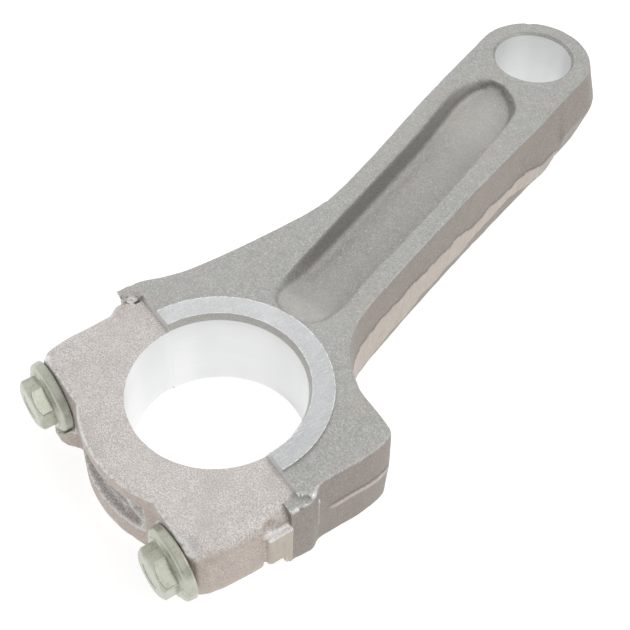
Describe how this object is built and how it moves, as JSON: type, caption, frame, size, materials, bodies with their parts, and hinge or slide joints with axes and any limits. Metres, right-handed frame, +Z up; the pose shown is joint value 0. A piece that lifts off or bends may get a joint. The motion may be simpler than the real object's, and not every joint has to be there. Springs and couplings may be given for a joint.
{
  "type": "connecting rod",
  "caption": "Cast aluminium connecting rod with an angle-split big end: a bolted bearing cap that comes off, two hex flange bolts that back out, and a recessed I-section shank.",
  "frame": {"origin": "middle of the overall width and length, at the level the machined thrust ring rests on", "axes": "+Z up along both bores, +Y along the rod from the crankpin bore towards the piston-pin bore, +X to the side of the short shoulder; the crankpin bore axis is at x 0.001865, y -0.053395 and the piston-pin bore axis at x 0.001865, y 0.075305"},
  "size_m": [0.0722, 0.18, 0.0214],
  "materials": {
    "cast_aluminium": "as cast, fine matte grain",
    "blasted_aluminium": "blasted, fine sparkle",
    "zinc_plate": "zinc plated, slightly green"
  },
  "bodies": {
    "rod": {"rod_body": "cast_aluminium"},
    "cap": {"bearing_cap": "blasted_aluminium"},
    "bolt_left": {"cap_bolt_left": "zinc_plate"},
    "bolt_right": {"cap_bolt_right": "zinc_plate"}
  },
  "joints": [
    {"name": "cap_removal", "type": "slide", "parent": "rod", "child": "cap", "axis": [-0.3453, -0.9385, 0], "range_m": [0, 0.04]},
    {"name": "bolt_left_withdrawal", "type": "slide", "parent": "cap", "child": "bolt_left", "axis": [-0.3453, -0.9385, 0], "range_m": [0, 0.038]},
    {"name": "bolt_right_withdrawal", "type": "slide", "parent": "cap", "child": "bolt_right", "axis": [-0.3453, -0.9385, 0], "range_m": [0, 0.038]}
  ]
}
